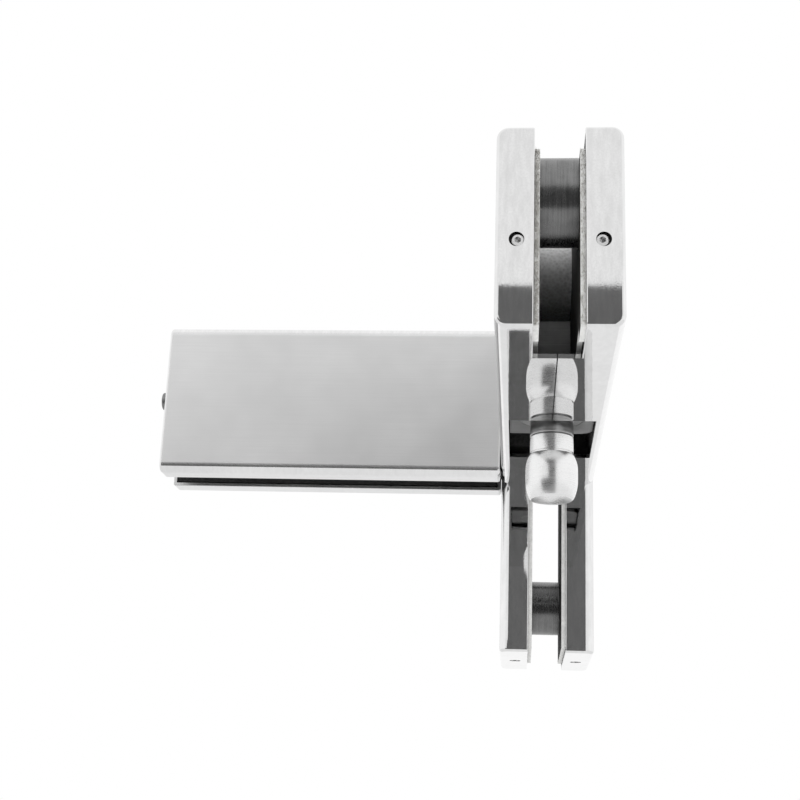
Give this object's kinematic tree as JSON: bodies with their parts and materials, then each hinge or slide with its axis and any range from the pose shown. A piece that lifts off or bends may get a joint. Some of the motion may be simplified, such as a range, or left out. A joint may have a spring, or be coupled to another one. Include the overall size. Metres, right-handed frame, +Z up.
{
  "type": "glass door hinge",
  "caption": "L-shaped patch fitting for frameless glass doors, with a sliding top pivot pin under its long limb and a clamp for a glass fin at right angles.",
  "frame": {"origin": "centre of the pivot pin's crowned head, the point that the door turns on", "axes": "+Z up as installed, +Y along the long limb towards the leg, -X towards the end of the fin clamp"},
  "size_m": [0.1473, 0.203, 0.1073],
  "materials": {
    "stainless_cover": "satin faces, polished edges",
    "cast_plate": "as cast",
    "fibre_gasket": "matte fibre",
    "sleeve_steel": "turned",
    "dark_screw": "black oxide",
    "block_steel": "milled",
    "bush_steel": "turned",
    "pin_steel": "turned and polished"
  },
  "bodies": {
    "fitting": {"left_cover": "stainless_cover", "right_cover": "stainless_cover", "left_clamp_plate": "cast_plate", "right_clamp_plate": "cast_plate", "left_gasket": "fibre_gasket", "right_gasket": "fibre_gasket", "front_sleeve": "sleeve_steel", "middle_sleeve": "sleeve_steel", "corner_sleeve": "sleeve_steel", "leg_sleeve": "sleeve_steel", "clamp_screws": "dark_screw", "cover_set_screws": "dark_screw", "fin_bracket": "block_steel", "fin_mounting_screws": "dark_screw", "fin_front_cover": "stainless_cover", "fin_rear_cover": "stainless_cover", "fin_front_plate": "cast_plate", "fin_rear_plate": "cast_plate", "fin_front_gasket": "fibre_gasket", "fin_rear_gasket": "fibre_gasket", "fin_sleeve": "sleeve_steel", "fin_clamp_screws": "dark_screw", "fin_cover_screws": "dark_screw"},
    "carriage": {"pivot_block": "block_steel", "pivot_bush": "bush_steel"},
    "pin": {"pivot_pin": "pin_steel", "pin_circlip": "dark_screw"}
  },
  "joints": [
    {"name": "pivot_slide", "type": "slide", "parent": "fitting", "child": "carriage", "axis": [0, 1, 0], "range_m": [0, 0.017]},
    {"name": "pivot_turn", "type": "hinge", "parent": "carriage", "child": "pin", "pos_m": [0, 0, 0], "axis": [0, 0, 1], "continuous": true}
  ]
}
